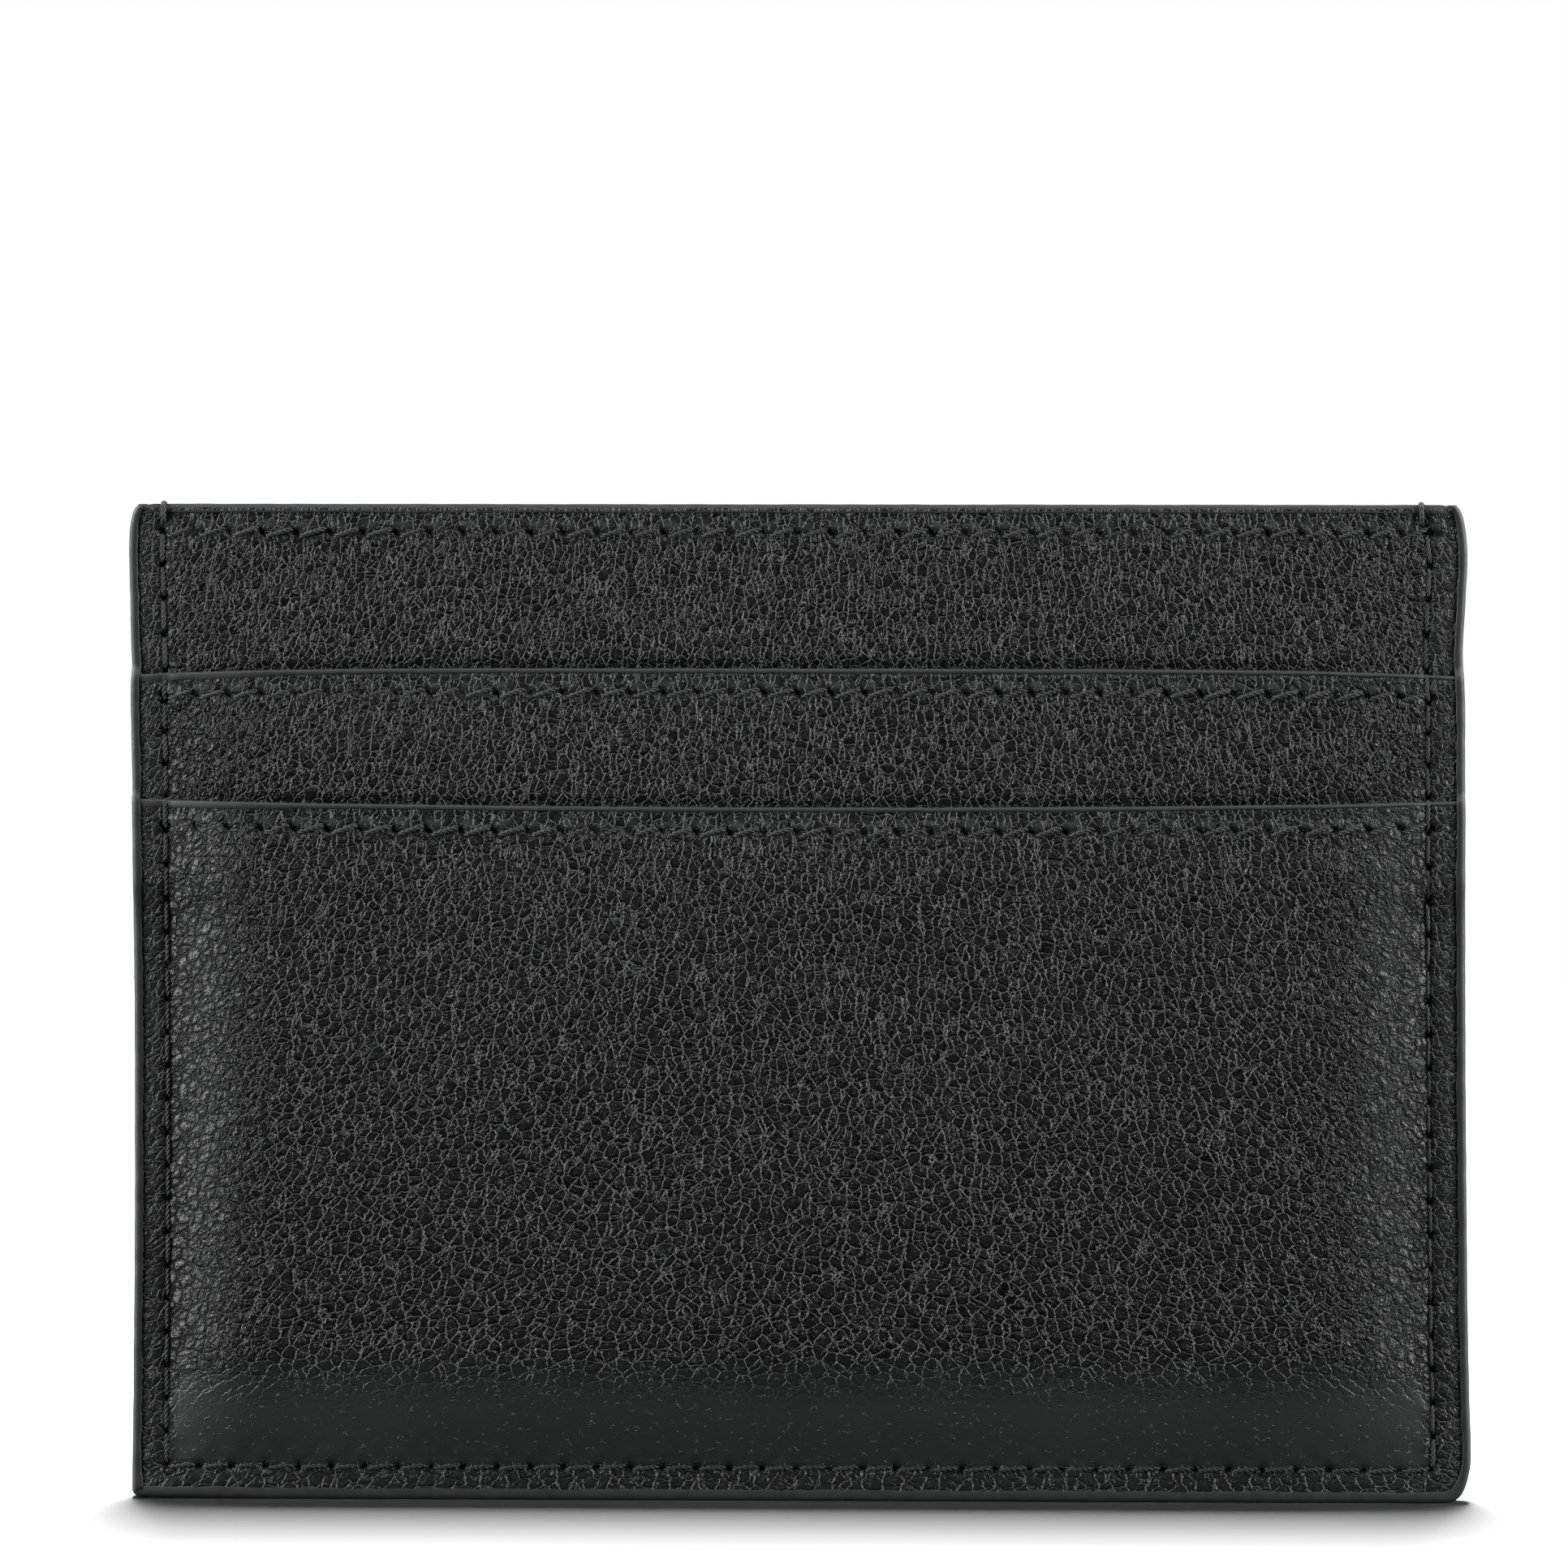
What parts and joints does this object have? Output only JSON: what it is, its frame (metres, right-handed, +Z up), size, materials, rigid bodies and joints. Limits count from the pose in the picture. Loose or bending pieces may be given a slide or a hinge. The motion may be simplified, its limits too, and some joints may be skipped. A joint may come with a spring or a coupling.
{
  "type": "card holder",
  "caption": "Flat black grained-leather card holder: stepped card slots on both faces and an open-topped middle pocket, sewn and edge-painted round three sides.",
  "frame": {"origin": "the middle of the bottom edge, which the holder stands on", "axes": "+X along the width, +Y from the front face to the back face, +Z up to the open mouths"},
  "size_m": [0.1, 0.0082, 0.0745],
  "materials": {
    "leather": "fine pebble grain, semi-matte",
    "pocket_lining": "fine plain-weave textile",
    "reinforcement_board": "bonded board, unfinished",
    "edge_paint": "smooth semi-matte edge paint",
    "thread": "waxed twisted polyester"
  },
  "bodies": {
    "root": {"front_lower_pocket": "leather", "front_upper_pocket": "leather", "front_panel": "leather", "front_lower_pocket_lining": "pocket_lining", "front_upper_pocket_lining": "pocket_lining", "front_panel_lining": "pocket_lining", "front_panel_reinforcement": "reinforcement_board", "front_lower_pocket_edge_paint": "edge_paint", "front_upper_pocket_edge_paint": "edge_paint", "front_panel_edge_paint": "edge_paint", "front_lower_pocket_stitching": "thread", "front_upper_pocket_stitching": "thread", "front_panel_stitching": "thread", "front_upper_pocket_tail_seam": "thread", "back_lower_pocket": "leather", "back_upper_pocket": "leather", "back_panel": "leather", "back_lower_pocket_lining": "pocket_lining", "back_upper_pocket_lining": "pocket_lining", "back_panel_lining": "pocket_lining", "back_panel_reinforcement": "reinforcement_board", "back_lower_pocket_edge_paint": "edge_paint", "back_upper_pocket_edge_paint": "edge_paint", "back_panel_edge_paint": "edge_paint", "back_lower_pocket_stitching": "thread", "back_upper_pocket_stitching": "thread", "back_panel_stitching": "thread", "back_upper_pocket_tail_seam": "thread", "perimeter_edge_paint": "edge_paint", "perimeter_stitching_front": "thread", "perimeter_stitching_back": "thread"}
  },
  "joints": []
}
